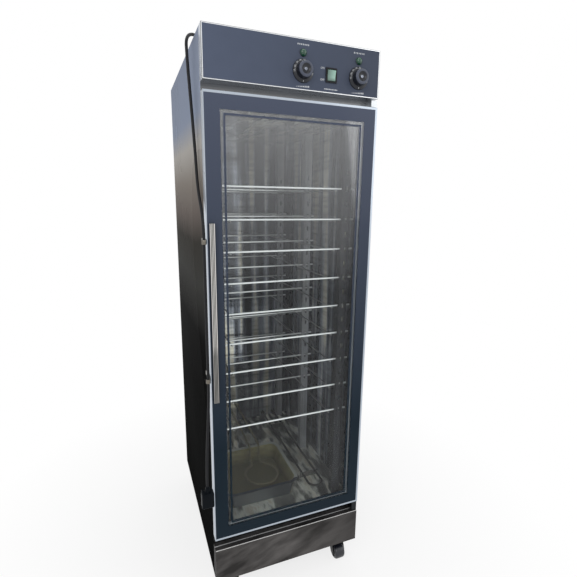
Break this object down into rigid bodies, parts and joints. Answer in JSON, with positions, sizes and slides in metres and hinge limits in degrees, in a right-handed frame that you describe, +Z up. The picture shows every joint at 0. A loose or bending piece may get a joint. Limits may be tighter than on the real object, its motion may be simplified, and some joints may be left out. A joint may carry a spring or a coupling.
{
  "type": "proofing box",
  "caption": "Tall stainless dough proofing cabinet on casters with a glazed hinged door, control panel with dials, wire shelves, water pan and heaters.",
  "frame": {"origin": "floor level under the middle of the cabinet", "axes": "+X to the right of someone who faces the door, +Y to the back, +Z up"},
  "size_m": [0.539, 0.701, 1.7662],
  "materials": {
    "outer_steel": "polished",
    "inner_steel": "satin",
    "insulation": "matte",
    "fascia": "satin",
    "black_plastic": "satin",
    "green_lens": "gloss",
    "black_rubber": "matte",
    "chrome": "polished",
    "heater_tube": "satin",
    "aluminium": "satin",
    "glass": "polished",
    "caster_steel": "satin",
    "wheel_rubber": "satin"
  },
  "bodies": {
    "cabinet": {"left_side_panel": "outer_steel", "right_side_panel": "outer_steel", "roof_panel": "outer_steel", "back_panel": "outer_steel", "base_plate": "outer_steel", "control_hood": "outer_steel", "kick_plate": "outer_steel", "opening_frame": "outer_steel", "inner_left_wall": "inner_steel", "inner_right_wall": "inner_steel", "inner_floor": "inner_steel", "inner_ceiling": "inner_steel", "inner_back_wall": "inner_steel", "water_pan": "inner_steel", "heater_supports": "inner_steel", "left_rack_posts": "inner_steel", "right_rack_posts": "inner_steel", "wall_insulation": "insulation", "control_fascia": "fascia", "switch_housing": "black_plastic", "humidity_thermostat": "black_plastic", "temperature_thermostat": "black_plastic", "power_plug": "black_plastic", "humidity_lamp": "green_lens", "temperature_lamp": "green_lens", "cable_gland": "black_rubber", "power_cord": "black_rubber", "shelf_1": "chrome", "shelf_2": "chrome", "shelf_3": "chrome", "shelf_4": "chrome", "shelf_5": "chrome", "shelf_6": "chrome", "shelf_7": "chrome", "shelf_8": "chrome", "shelf_9": "chrome", "cord_hooks": "chrome", "hinge_brackets": "chrome", "caster_plates": "chrome", "pan_heater": "heater_tube", "floor_heater": "heater_tube"},
    "door": {"door_frame": "aluminium", "front_glass": "glass", "inner_glass": "glass", "glass_spacer": "aluminium", "door_gasket": "black_rubber", "door_handle": "aluminium"},
    "humidity_knob": {"humidity_knob": "black_plastic"},
    "temperature_knob": {"temperature_knob": "black_plastic"},
    "switch_rocker": {"switch_rocker": "green_lens"},
    "front_left_caster": {"front_left_caster_fork": "caster_steel"},
    "front_left_wheel": {"front_left_caster_wheel": "wheel_rubber"},
    "front_right_caster": {"front_right_caster_fork": "caster_steel"},
    "front_right_wheel": {"front_right_caster_wheel": "wheel_rubber"},
    "rear_left_caster": {"rear_left_caster_fork": "caster_steel"},
    "rear_left_wheel": {"rear_left_caster_wheel": "wheel_rubber"},
    "rear_right_caster": {"rear_right_caster_fork": "caster_steel"},
    "rear_right_wheel": {"rear_right_caster_wheel": "wheel_rubber"}
  },
  "joints": [
    {"name": "door_hinge", "type": "hinge", "parent": "cabinet", "child": "door", "pos_m": [0.242, -0.3115, 0.88], "axis": [0, 0, 1], "range_deg": [0, 115]},
    {"name": "humidity_knob_turn", "type": "hinge", "parent": "cabinet", "child": "humidity_knob", "pos_m": [0.015, -0.3375, 1.597], "axis": [0, 1, 0], "range_deg": [0, 300]},
    {"name": "temperature_knob_turn", "type": "hinge", "parent": "cabinet", "child": "temperature_knob", "pos_m": [0.182, -0.3375, 1.597], "axis": [0, 1, 0], "range_deg": [0, 300]},
    {"name": "power_switch_tilt", "type": "hinge", "parent": "cabinet", "child": "switch_rocker", "pos_m": [0.098, -0.3225, 1.595], "axis": [-1, 0, 0], "range_deg": [0, 16]},
    {"name": "front_left_swivel", "type": "hinge", "parent": "cabinet", "child": "front_left_caster", "pos_m": [-0.195, -0.2775, 0.07], "axis": [0, 0, 1], "continuous": true},
    {"name": "front_left_roll", "type": "hinge", "parent": "front_left_caster", "child": "front_left_wheel", "pos_m": [-0.195, -0.2975, 0.025], "axis": [1, 0, 0], "continuous": true},
    {"name": "front_right_swivel", "type": "hinge", "parent": "cabinet", "child": "front_right_caster", "pos_m": [0.195, -0.2775, 0.07], "axis": [0, 0, 1], "continuous": true},
    {"name": "front_right_roll", "type": "hinge", "parent": "front_right_caster", "child": "front_right_wheel", "pos_m": [0.195, -0.2975, 0.025], "axis": [1, 0, 0], "continuous": true},
    {"name": "rear_left_swivel", "type": "hinge", "parent": "cabinet", "child": "rear_left_caster", "pos_m": [-0.195, 0.3045, 0.07], "axis": [0, 0, 1], "continuous": true},
    {"name": "rear_left_roll", "type": "hinge", "parent": "rear_left_caster", "child": "rear_left_wheel", "pos_m": [-0.195, 0.2845, 0.025], "axis": [1, 0, 0], "continuous": true},
    {"name": "rear_right_swivel", "type": "hinge", "parent": "cabinet", "child": "rear_right_caster", "pos_m": [0.195, 0.3045, 0.07], "axis": [0, 0, 1], "continuous": true},
    {"name": "rear_right_roll", "type": "hinge", "parent": "rear_right_caster", "child": "rear_right_wheel", "pos_m": [0.195, 0.2845, 0.025], "axis": [1, 0, 0], "continuous": true}
  ]
}
